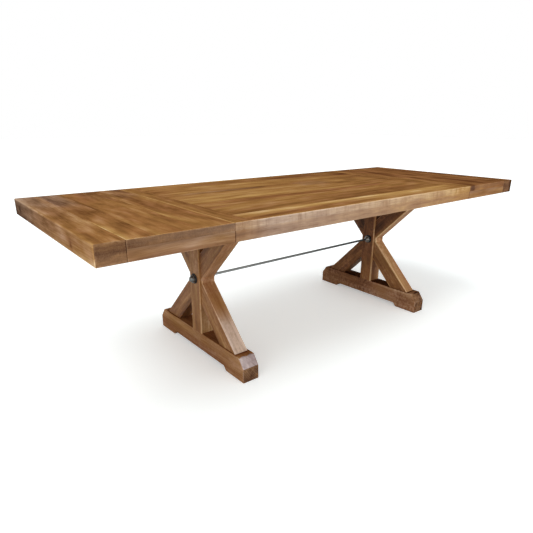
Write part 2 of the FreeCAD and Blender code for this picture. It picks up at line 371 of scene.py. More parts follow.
def build_strip(t, x, y, z):
    """Long sawn edge of the top: grain along X, with saw marks that stand upright in places."""
    # A little of y sets the front edge apart from the back one
    side = y * 0.1 + z

    def layer(waves, shift, **looks):
        """Noise on the edge; the shift sets the layers apart."""
        return t.noise(t.vector(x * waves[0], side * waves[1], shift), **looks)

    streak = layer(SAWN_STREAK_WAVES, 0.0, detail=3.0, roughness=0.6)
    blotch = layer(SAWN_BLOTCH_WAVES, 4.0, detail=3.0, roughness=0.6)
    coarse = layer(COARSE_MARK_WAVES, 8.0)
    fine = layer(FINE_MARK_WAVES, 12.0)
    place = t.step(t.noise(t.vector(x * MARK_PLACE_WAVES, 0.0, 20.0)), *MARK_PLACE_LEVELS)
    marks = (coarse * COARSE_SHARE + fine * FINE_SHARE) * place
    return (streak * STREAK_SHARE + blotch * BLOTCH_SHARE, t.least(marks, marks * PALE_MARK_SHARE),
            t.step(abs(x), *JOINT_FADE))


def build_band(t, u, v, streak, broad, across, half, along, length):
    """Soft-edged streak with its grain."""
    inside = t.step(abs(v - across + streak * half * BAND_FRAY[0]), half, half * BAND_FULL[0])
    reach = abs(u - along) + broad * length * BAND_FRAY[1]
    return (inside * t.step(reach, length, length * BAND_FULL[1]),)


def build_knot(t, u, v, w, fine, ku, kv, kw, size):
    """Core of a knot, and the halo round it."""
    away = t.length((u - ku) * KNOT_SHAPE[0], v - kv, (w - kw) * KNOT_SHAPE[1]) + fine * size * KNOT_FRAY
    return t.step(away, size, size * CORE_FULL), t.step(away, size * HALO_BEGINS, size * HALO_FULL)


def build_colour(t, tone, red, ash, pores):
    """Golden wood that red turns russet, ash turns grey and more ash turns lilac."""
    warm = t.mix(red, t.ramp(tone, GOLDEN), t.ramp(tone, RUSSET))
    cool = t.mix(ash, warm, t.ramp(tone, ASHEN))
    cold = t.mix(ash - LILAC_FROM, cool, t.ramp(tone, LILAC))
    return (t.mix(pores * PORE_COVER, cold, PORE_COLOUR),)


AXES = ["Along", "Across", "Through"]
KNOT_INPUTS = ["Knot along", "Knot across", "Knot through", "Size"]
WANDER = make_group("grain_wander", AXES + ["Seed"], ["Across", "Through"], build_wander)
PULL = make_group("knot_pull", AXES + KNOT_INPUTS, ["Shift"], build_pull)
FIELDS = make_group("wood_fields", AXES + ["Seed", "Heart across", "Heart through", "Ring spacing"],
                    ["Broad", "Streak", "Fine", "Fibre", "Mottle", "Rings", "Pores"], build_fields)
STRIP = make_group("sawn_strip", ["X", "Y", "Z"], ["Strip", "Marks", "Joint"], build_strip)
BAND = make_group("wood_band", ["Along", "Across", "Streak", "Broad", "Middle across", "Half width",
                                "Middle along", "Half length"], ["Inside"], build_band)
KNOT = make_group("knot_shade", AXES + ["Fine"] + KNOT_INPUTS, ["Core", "Halo"], build_knot)
COLOUR = make_group("wood_colour", ["Tone", "Red", "Ash", "Pores"], ["Wood colour"], build_colour)


# Boards: what sets one board apart, with places in metres; a side is written like "x-"

Band = namedtuple("Band", "across half_width along half_length tone red ash", defaults=(0.0, 0.0))
Knot = namedtuple("Knot", "along across through radius")
Face = namedtuple("Face", "side tone red ash slope", defaults=(0.0, 0.0, 0.0))
Zone = namedtuple("Zone", "axis begin full side tone red ash", defaults=(0.0, 0.0))
Lip = namedtuple("Lip", "tone red ash ash_slope marks slope")

# Shares of a face's normal where a change begins and where it is full
SQUARE_ON = (0.6, 0.8)
HALF_ON = (0.4, 0.5)
END_ON = (0.75, 0.9)

# Shares of the layers in a board's tone
BROAD_TONE = 0.40
FINE_TONE = 0.16
FIBRE_TONE = 0.06
MOTTLE_TONE = 0.30
RING_TONE = 0.06

# Shares of the layers in its red and ash
BROAD_RED = -0.5
MOTTLE_RED = 0.6
MOTTLE_ASH = 0.25

# Dents and dirt: waves per metre, the noise's middle, and the mottle where they begin and are full
DIRT_WAVES = 65.0
DIRT_MIDDLE = 0.06
DIRT_PLACES = (-0.5, 0.3)

# Knots: how much darker the core is, and the halo's change of tone, red and ash
CORE_DARKER = 0.10
HALO_CHANGE = (-0.08, 0.3, 0.0)

# Sawn edges: shares of the pattern in tone, red and ash, and the change towards the leaves
STRIP_TONE = 0.5
STRIP_RED = -0.5
STRIP_ASH = -0.5
SAWN_FINE_TONE = 0.12
JOINT_DARKER = 0.10
JOINT_LESS_ASH = 0.40

# End grain: how much darker it is, with more of the rings and the mottle
END_DARKER = 0.12
END_RING_TONE = 0.07
END_MOTTLE_TONE = 0.1

# Seams: depths where the shade begins and where it is full, and what a tight joint adds
SEAM_SHADE = (0.0030, 0.0008)
TIGHT_DARKER = 0.06
ZONE_BLUR = 0.012

# Pale edges, rubbed and partly a painted highlight where edges catch light: how far the grain frays them and
# where they are full, in widths, and their mottle
EDGE_FRAY = 0.8
EDGE_FULL = 0.2
EDGE_MOTTLE = 0.3

# Relief in metres, shares of the layers in it, and changes of the roughness
GRAIN_DEPTH = 0.0004
BUMP_STRENGTH = 0.5
FIBRE_RELIEF = 0.25
FINE_RELIEF = 0.5
RING_RELIEF = 0.25
PALE_SMOOTHER = 0.1
PORE_ROUGHER = 0.15

# Each board has its own seed, spread over the noise by these steps
WANDER_STEP = 7.31
FIELD_STEP = 3.17


def add(total, part, share):
    """Total with a share of a part; a share of 0 makes no nodes."""
    return total + part * share if share else total


class Look:
    """Tone, red and ash of one wood, as node values that change from place to place."""

    def __init__(self, tone, red, ash):
        self.tone = tone
        self.red = red
        self.ash = ash

    def change(self, inside, tone, red, ash):
        """Adds to all three where inside is 1."""
        self.tone = add(self.tone, inside, tone)
        self.red = add(self.red, inside, red)
        self.ash = add(self.ash, inside, ash)

    def become(self, inside, tone, red, ash):
        """Takes new values where inside is 1."""
        self.tone = self.tone + inside * (tone - self.tone)
        self.red = self.red + inside * (red - self.red)
        self.ash = self.ash + inside * (ash - self.ash)


def facing(t, normal, side, steps):
    """1 on faces that look to a side; steps: shares of the normal where that begins and where it is full."""
    return t.step(normal["xyz".index(side[0])] * (1 if side[1] == "+" else -1), *steps)


def arris_distance(t, depths):
    """Distance along the surface from the nearest edge: the second smallest of the depths under the faces."""
    first, second = t.least(depths[0], depths[1]), t.most(depths[0], depths[1])
    for depth in depths[2:]:
        second = t.least(second, t.most(first, depth))
        first = t.least(first, depth)
    return second


def chamfer_depth(y, z):
    """Depth under the sloping ends of a foot."""
    run, rise = FOOT_CHAMFER_RUN, FOOT_TOP - FOOT_END_HEIGHT
    return ((FOOT_END - abs(y)) * rise + (FOOT_END_HEIGHT - z) * run) / math.hypot(run, rise)


def shade_seams(t, look, end, axes, tight, flush, plain, seam, whole_lip):
    """Darkens the seams, and gives back the depths under the sides whose edges may turn pale, rubbed and
    partly a painted highlight.

    axes: (letter, place, limits) of each axis; whole_lip: no edges across the long sawn edge.
    """
    depths = []
    for letter, place, (low, high) in axes:
        free = []
        for side, depth in ((letter + "-", place - low), (letter + "+", high - place)):
            if side in tight:
                look.tone = look.tone - t.step(depth, *SEAM_SHADE) * (seam + TIGHT_DARKER)
            elif side in flush:
                look.tone = look.tone - t.step(depth, *SEAM_SHADE) * (1.0 - end) * seam
            elif side not in plain:
                free.append(depth)
        if len(free) == 2:
            free = [t.least(*free)]
        depths += [depth + end for depth in free] if whole_lip and letter == "x" else free
    return depths


def timber(name, node_names, grain, tone=0.5, seed=0.0, heart=(0.0, 0.6), red=0.3, ash=0.0, contrast=1.0,
           figure=1.0, streaky=0.30, slope=0.0, ash_slope=0.0, bands=(), knots=(), faces=(), zones=(),
           lip=None, tight="", flush="", plain="", seam=0.24, wear_and_glint=0.14, edge_width=0.004, lip_edges=False,
           grime=0.0, rough=0.5, specular=0.12, chamfered=False):
    """Solid wood for one board or one kind of board. Tone runs from 0 dark to 1 light.

    heart: heart of the log across and through the board.
    figure, streaky: shares of the clouds and of the long streaks in the grain.
    slope, ash_slope: change per metre along the grain.
    bands, knots: soft streaks and knots; faces: changes on faces that look one way; zones: on part of a face.
    lip: look of the sawn ends that show as one long edge; lip_edges: the edges across it get the pale edges
    too.
    tight, flush, plain: sides with a dark seam all round, a seam away from the lip, or nothing.
    seam: depth of the dark seams; grime: share of a speckle of dents and dirt.
    chamfered: the ends slope like those of a foot; wear, edge_width: tone and width of the pale edges, rubbed
    and partly a painted highlight, and dark below 0.
    """
    material, t = make_material(name)
    point, direction = t.coordinates()
    place, normal = t.split(point), t.split(direction)
    u, v, w = turned(grain, *place)
    v2, w2 = t.use(WANDER, u, v, w, seed * WANDER_STEP)
    for knot in knots:
        v2 = v2 + t.use(PULL, u, v, w, *knot)[0]
    fields = t.use(FIELDS, u, v2, w2, seed * FIELD_STEP, *heart, RING_SPACING)
    broad, streak, fine, fibre, mottle, rings, pores = fields
    value = (broad * BROAD_TONE + streak * streaky + fine * FINE_TONE + fibre * FIBRE_TONE
             + mottle * (MOTTLE_TONE * figure) + (0.5 - rings) * RING_TONE) * contrast + tone
    if grime:
        dirt = t.noise(point, scale=DIRT_WAVES, detail=3.0, roughness=0.7)
        value = value + (dirt - DIRT_MIDDLE) * grime * t.step(mottle, *DIRT_PLACES)
    look = Look(add(value, u, slope), broad * BROAD_RED + mottle * MOTTLE_RED + red,
                add(mottle * MOTTLE_ASH + ash, u, ash_slope))
    for band in bands:
        inside = t.use(BAND, u, v2, streak, broad, *band[:4])[0]
        look.change(inside, band.tone, band.red, band.ash)
    for knot in knots:
        core, halo = t.use(KNOT, u, v, w, fine, *knot)
        look.tone = look.tone - core * CORE_DARKER
        look.change(halo, *HALO_CHANGE)
    if lip:
        end = t.step(abs(normal[1]), *END_ON)
        strip, marks, joint = t.use(STRIP, *place)
        sawn = strip * STRIP_TONE + fine * SAWN_FINE_TONE + marks * lip.marks + place[0] * lip.slope
        greyish = place[0] * lip.ash_slope + strip * STRIP_ASH - joint * JOINT_LESS_ASH
        look.become(end, sawn - joint * JOINT_DARKER + lip.tone, strip * STRIP_RED + lip.red,
                    greyish + lip.ash)
    else:
        # End grain is darker, with its rings clearer
        end = t.step(abs(turned(grain, *normal)[0]), *END_ON)
        look.tone = look.tone - end * (rings * END_RING_TONE + mottle * END_MOTTLE_TONE + END_DARKER)
    for face in faces:
        change = u * face.slope + face.tone if face.slope else face.tone
        look.change(facing(t, normal, face.side, SQUARE_ON), change, face.red, face.ash)
    for zone in zones:
        blurred = place["xyz".index(zone.axis)] + (mottle + streak) * ZONE_BLUR
        inside = t.step(blurred, zone.begin, zone.full) * facing(t, normal, zone.side, HALF_ON)
        look.change(inside, zone.tone, zone.red, zone.ash)
    if isinstance(grain, str):
        axes = list(zip("xyz", place, node_limits(node_names[0])))
    else:
        # The ends of a brace are hidden in their joints
        axes = list(zip("xyz", turned(grain, *place), node_limits(node_names[0], grain, WAIST)))[1:]
    depths = shade_seams(t, look, end, axes, tight, flush, plain, seam, lip and not lip_edges)
    if chamfered:
        depths.append(chamfer_depth(*place[1:]))
    if len(depths) > 1:
        # Edges are rubbed pale and partly carry a painted highlight where they catch light; below 0 they turn
        # dark instead
        edge = arris_distance(t, depths) + (streak + mottle) * edge_width * EDGE_FRAY
        edge_mark = t.step(edge, edge_width, edge_width * EDGE_FULL)
        look.tone = look.tone + edge_mark * (mottle * EDGE_MOTTLE + wear_and_glint)
    colour = t.use(COLOUR, look.tone, look.red, look.ash, pores)[0]
    roughness = rough - look.tone * PALE_SMOOTHER + pores * PORE_ROUGHER
    height = fibre * FIBRE_RELIEF + fine * FINE_RELIEF + rings * RING_RELIEF - pores
    surface(t, colour, roughness, t.bump(height, GRAIN_DEPTH, BUMP_STRENGTH), Specular_IOR_Level=specular)
    dress(node_names, material)


def fade(begin, full, tone, ash):
    """Change of a long edge's look, front and back, between two heights above the underside of the boards."""
    return tuple(Zone("z", BOARDS_BOTTOM + begin, BOARDS_BOTTOM + full, side, tone, 0.0, ash)
                 for side in ("y-", "y+"))


def both_ends(axis, begin, full, sides, *change):
    """The same zone at both ends of a piece."""
    return (Zone(axis, -begin, -full, sides[0], *change), Zone(axis, begin, full, sides[1], *change))


MATT = dict(specular=0.0, rough=0.6)
EAVES = dict(plain="z+", specular=0.03)


# Main top: six long boards between two end boards, and the strips under their edges

# The sawn long edges and the strips under them are painted pale and greyish pink: their own grain and saw
# marks, with a painted sheen laid into the colour
MAIN_LIP = Lip(tone=0.79, red=0.35, ash=0.42, ash_slope=-0.50, marks=0.45, slope=0.05)
APRON_LIP = Lip(tone=0.65, red=0.45, ash=0.40, ash_slope=-0.5, marks=0.14, slope=0.06)
MAIN_FADE = fade(0.012, 0.0, -0.05, 0.05)
DUSK_SPAN = (0.60, 0.735)
DUSK = both_ends("x", *DUSK_SPAN, ("z+", "z+"), -0.055, 0.1)
BOARD = dict(MATT, plain="z-", red=0.1, seam=0.12)
INNER = dict(BOARD, flush="x- x+ y- y+", contrast=0.68, zones=DUSK)
OUTER = dict(BOARD, lip=MAIN_LIP, zones=MAIN_FADE + DUSK)
END_BOARD = dict(MATT, plain="z-", red=0.15, contrast=0.8, seam=0.06, lip=MAIN_LIP, zones=MAIN_FADE,
                 wear_and_glint=0.22, edge_width=0.006)

# Boards 2 to 6 darken towards +X by their slope: painted shade, light falling off towards the back right
MAIN_BOARDS = (
    dict(OUTER, flush="x- x+ y+", tone=0.59, heart=(-0.56, 0.70), contrast=0.72, wear_and_glint=0.24, edge_width=0.0055,
         bands=(Band(-0.418, 0.040, -0.26, 0.66, 0.15, -0.3), Band(-0.490, 0.022, -0.40, 0.45, -0.07, 0.2),
                Band(-0.46, 0.07, 0.40, 0.40, 0.06, -0.3), Band(-0.46, 0.08, 0.02, 0.28, -0.05))),
    dict(INNER, tone=0.475, heart=(-0.36, 0.66), slope=-0.05,
         bands=(Band(-0.226, 0.020, 0.0, 0.65, 0.09), Band(-0.305, 0.035, -0.64, 0.10, 0.12, -0.2),
                Band(-0.285, 0.045, 0.47, 0.22, -0.07, 0.3), Band(-0.372, 0.02, -0.35, 0.45, -0.08))),
    dict(INNER, tone=0.50, heart=(-0.17, 0.67), slope=-0.05,
         bands=(Band(-0.050, 0.045, -0.42, 0.42, 0.14, -0.4), Band(-0.150, 0.045, 0.0, 0.9, -0.08, 0.4),
                Band(-0.188, 0.012, 0.1, 0.5, 0.09))),
    dict(INNER, tone=0.505, heart=(0.04, 0.65), slope=-0.10,
         bands=(Band(0.150, 0.035, -0.42, 0.32, -0.09, 0.0, 0.25),
                Band(0.115, 0.080, 0.19, 0.16, -0.07, 0.0, 0.2),
                Band(0.095, 0.040, 0.50, 0.09, -0.12, 0.0, 0.1),
                Band(0.015, 0.050, -0.45, 0.36, 0.10, -0.4))),
    dict(INNER, tone=0.50, heart=(0.25, 0.66), slope=-0.09,
         bands=(Band(0.215, 0.015, -0.55, 0.20, 0.06), Band(0.33, 0.06, -0.05, 0.25, 0.06, -0.2),
                Band(0.32, 0.06, 0.70, 0.12, -0.07, 0.4))),
    dict(OUTER, flush="x- x+ y-", tone=0.46, heart=(0.40, 0.67), slope=-0.18, contrast=0.7, wear_and_glint=-0.08,
         bands=(Band(0.42, 0.06, 0.30, 0.25, -0.10, 0.3),)),
)


def main_top():
    """Boards of the main top, one look each; they darken a little towards the end boards."""
    for number, looks in enumerate(MAIN_BOARDS, 1):
        timber("board_%d" % number, ["main_board_%d" % number], "X", seed=number, **looks)
    timber("end_board_left", ["main_end_board_left"], "Y", tone=0.425, seed=9, heart=(-0.74, 0.68),
           flush="x+", tight="x-", **END_BOARD)
    timber("end_board_right", ["main_end_board_right"], "Y", tone=0.40, seed=11, heart=(0.74, 0.68),
           flush="x-", tight="x+", **END_BOARD)
    for edge in EDGES:
        timber("apron_" + edge, ["main_apron_" + edge], "X", tone=0.62, seed=30, red=0.45, ash=0.36,
               ash_slope=-0.5, lip=APRON_LIP, tight="x- x+", wear_and_glint=0.08,
               zones=fade(-0.012, 0.0, 0.06, -0.05), **EAVES)


# Leaves: three boards across the table, a thick end beam, and strips under the boards

LEAF_FADE = fade(0.014, 0.001, 0.03, -0.15)
LEAF_BOARD = dict(MATT, plain="z-", figure=1.8, contrast=0.65, streaky=0.12, seam=0.04)
LEAF_BEAM = dict(MATT, figure=1.4, contrast=0.8, streaky=0.2, lip_edges=True, edge_width=0.009)


def pale_lines(sign):
    """Light lines along the seams of the innermost board of a leaf."""
    return (Band(sign * 0.806, 0.010, 0.0, 1.5, 0.20, -0.2),
            Band(sign * 0.934, 0.006, -0.22, 0.35, 0.12, -0.2))


LEFT_LEAF = dict(
    lip=Lip(tone=0.87, red=0.3, ash=1.37, ash_slope=0.4, marks=0.14, slope=0.375),
    slope=-0.08,
    boards=(
        dict(tone=0.48, red=0.25, ash=0.02, ash_slope=0.1,
             bands=pale_lines(-1) + (Band(-0.875, 0.09, 0.40, 0.24, -0.06, 0.0, 0.15),)),
        dict(tone=0.49, red=0.25, ash=0.0, ash_slope=0.1,
             bands=(Band(-1.05, 0.05, 0.35, 0.2, -0.03, 0.4),
                    Band(-0.99, 0.09, 0.40, 0.22, -0.03, 0.0, 0.1))),
        dict(tone=0.43, red=0.3, ash=0.05, ash_slope=0.35,
             bands=(Band(-1.105, 0.018, 0.36, 0.25, -0.10, 0.1),
                    Band(-1.205, 0.024, -0.40, 0.24, 0.12, -0.3),
                    Band(-1.13, 0.035, -0.42, 0.20, -0.05, 0.1),
                    Band(-1.17, 0.075, 0.40, 0.30, 0.0, 0.0, 0.42)))),
    beam=dict(tone=0.48, red=0.2, ash=0.14, ash_slope=0.4, wear_and_glint=0.13, zones=fade(0.008, -0.022, 0.11, 0.0),
              lip=Lip(tone=0.415, red=0.3, ash=0.77, ash_slope=0.0, marks=0.05, slope=0.0),
              # The outer end face is painted darker towards the back: painted falloff of the light from the
              # front
              faces=(Face("x-", -0.095, 0.15, 0.18, -0.42),),
              knots=(Knot(-0.30, -1.30, 0.715, 0.007), Knot(0.43, -1.30, 0.722, 0.006)),
              bands=(Band(-1.295, 0.030, 0.0, 1.0, 0.10, -0.1),
                     Band(-1.26, 0.06, 0.42, 0.30, -0.02, -0.1, 0.30))),
    strip=dict(tone=0.455, red=0.45, ash=0.28))

RIGHT_LEAF = dict(
    lip=Lip(tone=0.65, red=0.6, ash=0.62, ash_slope=0.0, marks=0.10, slope=-0.05),
    slope=0.0,
    boards=(
        dict(tone=0.345, red=0.4, bands=pale_lines(1),
             zones=LEAF_FADE + (Zone("x", 0.803, 0.811, "y-", -0.20, 0.3, 0.2),
                                Zone("x", 0.844, 0.856, "y-", 0.20, -0.3, -0.2))),
        dict(tone=0.34, red=0.4),
        dict(tone=0.33, red=0.4, zones=LEAF_FADE + (Zone("x", 1.09, 1.16, "y-", -0.08, 0.2),))),
    beam=dict(tone=0.33, red=0.4, wear_and_glint=-0.10, zones=(Zone("x", 1.262, 1.290, "y-", -0.20),),
              lip=Lip(tone=0.445, red=0.55, ash=0.80, ash_slope=0.0, marks=0.05, slope=0.0),
              # The outer end face is painted darker towards the back: painted falloff of the light from the
              # front
              faces=(Face("x+", 0.01, 0.15, 0.18, -0.42),)),
    strip=dict(tone=0.54, red=0.4, ash=0.0))


def leaf(side, sign, lip, slope, boards, beam, strip):
    """Boards, end beam and edge strips of one leaf."""
    inner, outer = ("x+", "x-") if sign < 0 else ("x-", "x+")
    joints = (dict(tight=inner, wear_and_glint=0.07), dict(flush=inner + " " + outer),
              dict(flush=inner, lip_edges=True, wear_and_glint=0.16, edge_width=0.006))
    for number, (looks, joint) in enumerate(zip(boards, joints), 1):
        looks = {**LEAF_BOARD, "zones": LEAF_FADE, **joint, **looks}
        timber("leaf_board_%s_%d" % (side, number), ["leaf_%s_board_%d" % (side, number)], "Y",
               seed=12 + number * sign, heart=(sign * (0.75 + 0.15 * number), 0.66), lip=lip, slope=slope,
               **looks)
    timber("leaf_beam_" + side, ["leaf_%s_end_beam" % side], "Y", seed=16 + sign, heart=(sign * 1.27, 0.66),
           slope=slope, tight=inner, **LEAF_BEAM, **beam)
    for edge in EDGES:
        timber("leaf_apron_%s_%s" % (side, edge), ["leaf_%s_apron_%s" % (side, edge)], "X", seed=23,
               figure=0.7, contrast=0.85, tight=inner, wear_and_glint=0.06, zones=fade(-0.020, 0.002, -0.08, 0.30),
               **strip, **EAVES)


# Trestles; the flat land of a foot lies between its braces and the chamfers at its ends

# Where a change begins and where it is full: along a foot from its middle, or above the floor
LAND = (0.325, 0.337)
CHAMFER = (0.352, 0.358)
END_FACE = (0.385, 0.389)
BRACE_TOP = (0.40, 0.46)
ANY_HEIGHT = (0.0, 0.001)

# Braces at the back are painted darker, with fainter pale edges: painted shade behind the front ones
BACK_DARKER = 0.06


def front_end(limits, side, *change):
    """Zone at the front end of a foot."""
    return Zone("y", -limits[0], -limits[1], side, *change)


LEFT_TRESTLE = dict(
    tone=0.47, red=0.55, grime=0.20, wear_and_glint=0.12, edge_width=0.006,
    front_light={"upper": 0.11, "lower": 0.20}, front_light_tint=(0.1, 0.08), lower_light=0.045,
    # Painted sheen: a pale lilac grey patch low on the front of the lower front brace
    lower_sheen=(Zone("z", 0.285, 0.205, "y-", 0.20, 0.0, 0.58),),
    upper_shade={"front": -0.07, "back": -0.08},
    # The post's front face gets painted light, and its slope paints shade that deepens towards the table top
    post=dict(tone=0.60, slope=-0.44, faces=(Face("y-", 0.13, 0.1),)),
    # A foot's top is painted darker as shade under the braces, and its -X face gets a painted sheen
    foot=dict(grime=0.16, faces=(Face("z+", -0.18, 0.2), Face("x-", 0.06, 0.1, 0.18))),
    # Painted light near the front end of the -X face, and a painted lilac reflection on the front chamfer
    foot_zones=(front_end((0.22, 0.28), "x-", 0.04), front_end(CHAMFER, "z+", 0.06, -0.3, 2.3)))

# The right trestle stands deeper under the table: its tone, its foot's top and its back braces near the top
# are painted darker as shade
RIGHT_TRESTLE = dict(
    tone=0.43, red=0.6, grime=0.34, wear_and_glint=0.38, edge_width=0.009,
    front_light={"upper": 0.215, "lower": 0.305}, front_light_tint=(0.15, -0.15), lower_light=0.03,
    lower_sheen=(),
    upper_shade={"front": -0.11, "back": -0.28},
    # The post's front face gets painted light, and its slope paints shade that deepens towards the table top
    post=dict(tone=0.55, slope=-0.30, faces=(Face("y-", 0.07, 0.1),)),
    # A foot's top is painted darker as shade under the braces, and its -X face gets a painted sheen and
    # darkens towards the back
    foot=dict(grime=0.52, faces=(Face("z+", -0.36, 0.2), Face("x-", 0.045, 0.2, 0.3, -0.03))),
    # Painted light on the front half of the -X face and on the front land and end face, where light falls
    # from the front; the front end of the -X face and the front chamfer are darker
    foot_zones=(front_end((-0.03, 0.11), "x-", 0.175), front_end((0.23, 0.28), "x-", -0.13),
                front_end(LAND, "z+", 0.16, 0.0, 0.3), front_end(CHAMFER, "z+", -0.41, -0.1, 0.1),
                front_end(END_FACE, "y-", 0.07)))


def trestle(side, sign, tone, red, grime, wear_and_glint, edge_width, front_light, front_light_tint, lower_light,
            lower_sheen, upper_shade, post, foot, foot_zones):
    """Braces, foot and post of one trestle.

    front_light: painted light, a change of tone on the braces' faces turned to the front; front_light_tint:
    its red and ash.
    lower_light, lower_sheen: painted light on the lower front brace's -X face, and a painted sheen low on its
    front face; upper_shade: painted shade near the table top.
    """
    looks = dict(figure=0.8, contrast=0.9, red=red, grime=grime)
    for edge in EDGES:
        for level in ("upper", "lower"):
            slant = math.pi / 4 if (edge == "front") == (level == "lower") else -math.pi / 4
            zones = ()
            # Faces turned to the front get painted light
            if edge == "front":
                zones += (Zone("z", *ANY_HEIGHT, "y-", front_light[level], *front_light_tint),)
            if level == "upper":
                zones += (Zone("z", *BRACE_TOP, "x-", upper_shade[edge]),)
            elif edge == "front":
                # Painted light on the lower front brace's -X face, then its painted sheen
                zones += (Zone("z", *ANY_HEIGHT, "x-", lower_light),) + lower_sheen
            timber("brace_%s_%s_%s" % (side, level, edge), ["trestle_%s_%s_brace_%s" % (side, level, edge)],
                   slant, tone=tone - BACK_DARKER * (edge == "back"), seed=25 + 3 * (level == "upper") + sign,
                   zones=zones, wear_and_glint=wear_and_glint if edge == "front" else 0.05, edge_width=edge_width, **looks)
    # The land of a foot beyond its braces is painted lighter, out of their shade; the end faces turn greyer
    ends = both_ends("y", *LAND, ("z+", "z+"), 0.21, -0.2)
    ends += both_ends("y", *END_FACE, ("y-", "y+"), -0.02, -0.2, 0.5)
    timber("foot_" + side, ["trestle_%s_foot" % side], "Y", tone=tone + 0.03, seed=20 + sign,
           zones=ends + foot_zones, wear_and_glint=0.07, specular=0.0, chamfered=True,
           **{**looks, "contrast": 0.72, **foot})
    timber("post_" + side, ["trestle_%s_post" % side], "Z", seed=22 + sign, wear_and_glint=wear_and_glint + 0.12,
           edge_width=edge_width + 0.002, plain="z- z+ y+", **looks, **post)


# Hidden framing: (name, node names, grain, tone, seed)

FRAMING = (
    ("framing_y", ["main_end_apron_left", "main_end_apron_right", "runner_keeper_left", "runner_keeper_right",
                   "cross_battens", "trestle_left_top_rail", "trestle_right_top_rail"], "Y", 0.5, 33),
    ("framing_x", ["guide_rail_front_inner", "guide_rail_front_outer", "guide_rail_back_inner",
                   "guide_rail_back_outer", "leaf_left_batten", "leaf_right_batten"], "X", 0.6, 34),
    ("runner_wood", ["runner_left_front", "runner_left_back", "runner_right_front", "runner_right_back"],
     "X", 0.66, 35),
    ("peg_wood", ["runner_stop_pegs", "leaf_left_dowels", "leaf_right_dowels"], "X", 0.75, 36),
)

main_top()
leaf("left", -1, **LEFT_LEAF)
leaf("right", 1, **RIGHT_LEAF)
trestle("left", -1, **LEFT_TRESTLE)
trestle("right", 1, **RIGHT_TRESTLE)
for name, node_names, grain, tone, seed in FRAMING:
    timber(name, node_names, grain, tone=tone, seed=seed)


# Iron

# Waves per metre of the dents and the specks, and what they do to tone, roughness and relief
DENT_WAVES = 160.0
DENT_TONE = 0.35
DENT_DEPTH = 0.0006
DENT_STRENGTH = 0.6
SPECK_WAVES = 900.0
SPECK_ROUGH = 0.08
MIDDLE_LEVEL = 0.55
DARKEST, LIGHTEST = 0.45, 1.35


def iron(name, node_names, tone, rough, darker=0.0):
    """Black iron; tone: its middle colour; darker: painted light, a change of tone per metre along X."""
    material, t = make_material(name)
    point, _ = t.coordinates()
    dents = t.noise(point, scale=DENT_WAVES, detail=3.0, roughness=0.6)
    specks = t.noise(point, scale=SPECK_WAVES)
    level = add(dents * DENT_TONE + MIDDLE_LEVEL, t.split(point)[0], darker)
    colour = t.ramp(level, shades([c * DARKEST for c in tone], [c * LIGHTEST for c in tone]))
    surface(t, colour, specks * SPECK_ROUGH + rough, t.bump(dents, DENT_DEPTH, DENT_STRENGTH), Metallic=0.8)
    dress(node_names, material)
    return material


# Painted light along X: the rod is lighter at the left and darker to the right, and the right nut lighter for
# a painted highlight
iron("rod_iron", ["tie_rod"], (104, 106, 106), 0.42, -0.85)
iron("washer_iron", ["rod_washers"], (44, 44, 46), 0.5)
iron("nut_iron", ["rod_nuts"], (118, 119, 117), 0.28, 0.15)


# Screws that hold the framing from below; a profile is (share of the outline, drop as share of the radius)

HEAD_SIDES = 16
HEAD_PROFILE = ((1.0, -0.06), (1.0, 0.20), (0.87, 0.42), (0.62, 0.52))
RECESS_PROFILE = ((1.0, 0.52), (0.7, 0.15))
RECESS_ARM = 0.50
RECESS_HALF = 0.11
TURN_STEP = 2.4
SMALL_HEAD = 0.0045
LARGE_HEAD = 0.006
GUIDE_SCREWS = (-0.55, -0.32, -0.11, 0.11, 0.32, 0.55)
BATTEN_SCREWS = (-0.19, -0.06, 0.06, 0.19)
TOP_RAIL_SCREWS = (-0.16, 0.16)
LEAF_BATTEN_SCREWS = (-0.014, 0.014)


def cross_outline(arm, half):
    corners = []
    for c, s in ((1, 0), (0, 1), (-1, 0), (0, -1)):
        for a, b in ((arm, -half), (arm, half), (half, half)):
            corners.append((a * c - b * s, a * s + b * c))
    return corners


def circle_outline(radius):
    angles = [k * math.tau / HEAD_SIDES for k in range(HEAD_SIDES)]
    return [(radius * math.cos(angle), radius * math.sin(angle)) for angle in angles]


def add_screw(bm, place, radius, turn):
    """Pan head with a cross recess under a face; place is the middle of its seat."""
    c, s = math.cos(turn), math.sin(turn)

    def loop(outline, drop):
        return [bm.verts.new((place[0] + a * c - b * s, place[1] + a * s + b * c, place[2] - drop * radius))
                for a, b in outline]

    rings = [loop(circle_outline(radius * share), drop) for share, drop in HEAD_PROFILE]
    recess = [loop(cross_outline(radius * RECESS_ARM * share, radius * RECESS_HALF * share), drop)
              for share, drop in RECESS_PROFILE]
    for loops in (rings, recess):
        for a, b in zip(loops, loops[1:]):
            for k in range(len(a)):
                bm.faces.new((a[k - 1], a[k], b[k], b[k - 1]))
    bm.faces.new(rings[0])
    bm.faces.new(recess[-1])
    rim = [bm.edges.get((corners[k - 1], corners[k]))
           for corners in (rings[-1], recess[0]) for k in range(len(corners))]
    bmesh.ops.triangle_fill(bm, edges=rim, use_beauty=True)


def make_screws(name, body, places, material):
    """places: (x, y, z of the face, radius of the head)."""
    bm = bmesh.new()
    for number, (*seat, radius) in enumerate(places):
        add_screw(bm, seat, radius, number * TURN_STEP)
    bmesh.ops.recalc_face_normals(bm, faces=bm.faces)
    mesh = bpy.data.meshes.new(name)
    bm.to_mesh(mesh)
    bm.free()
    mesh.materials.append(material)
    screws = bpy.data.objects.new(name, mesh)
    scene.collection.objects.link(screws)
    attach(screws, body)


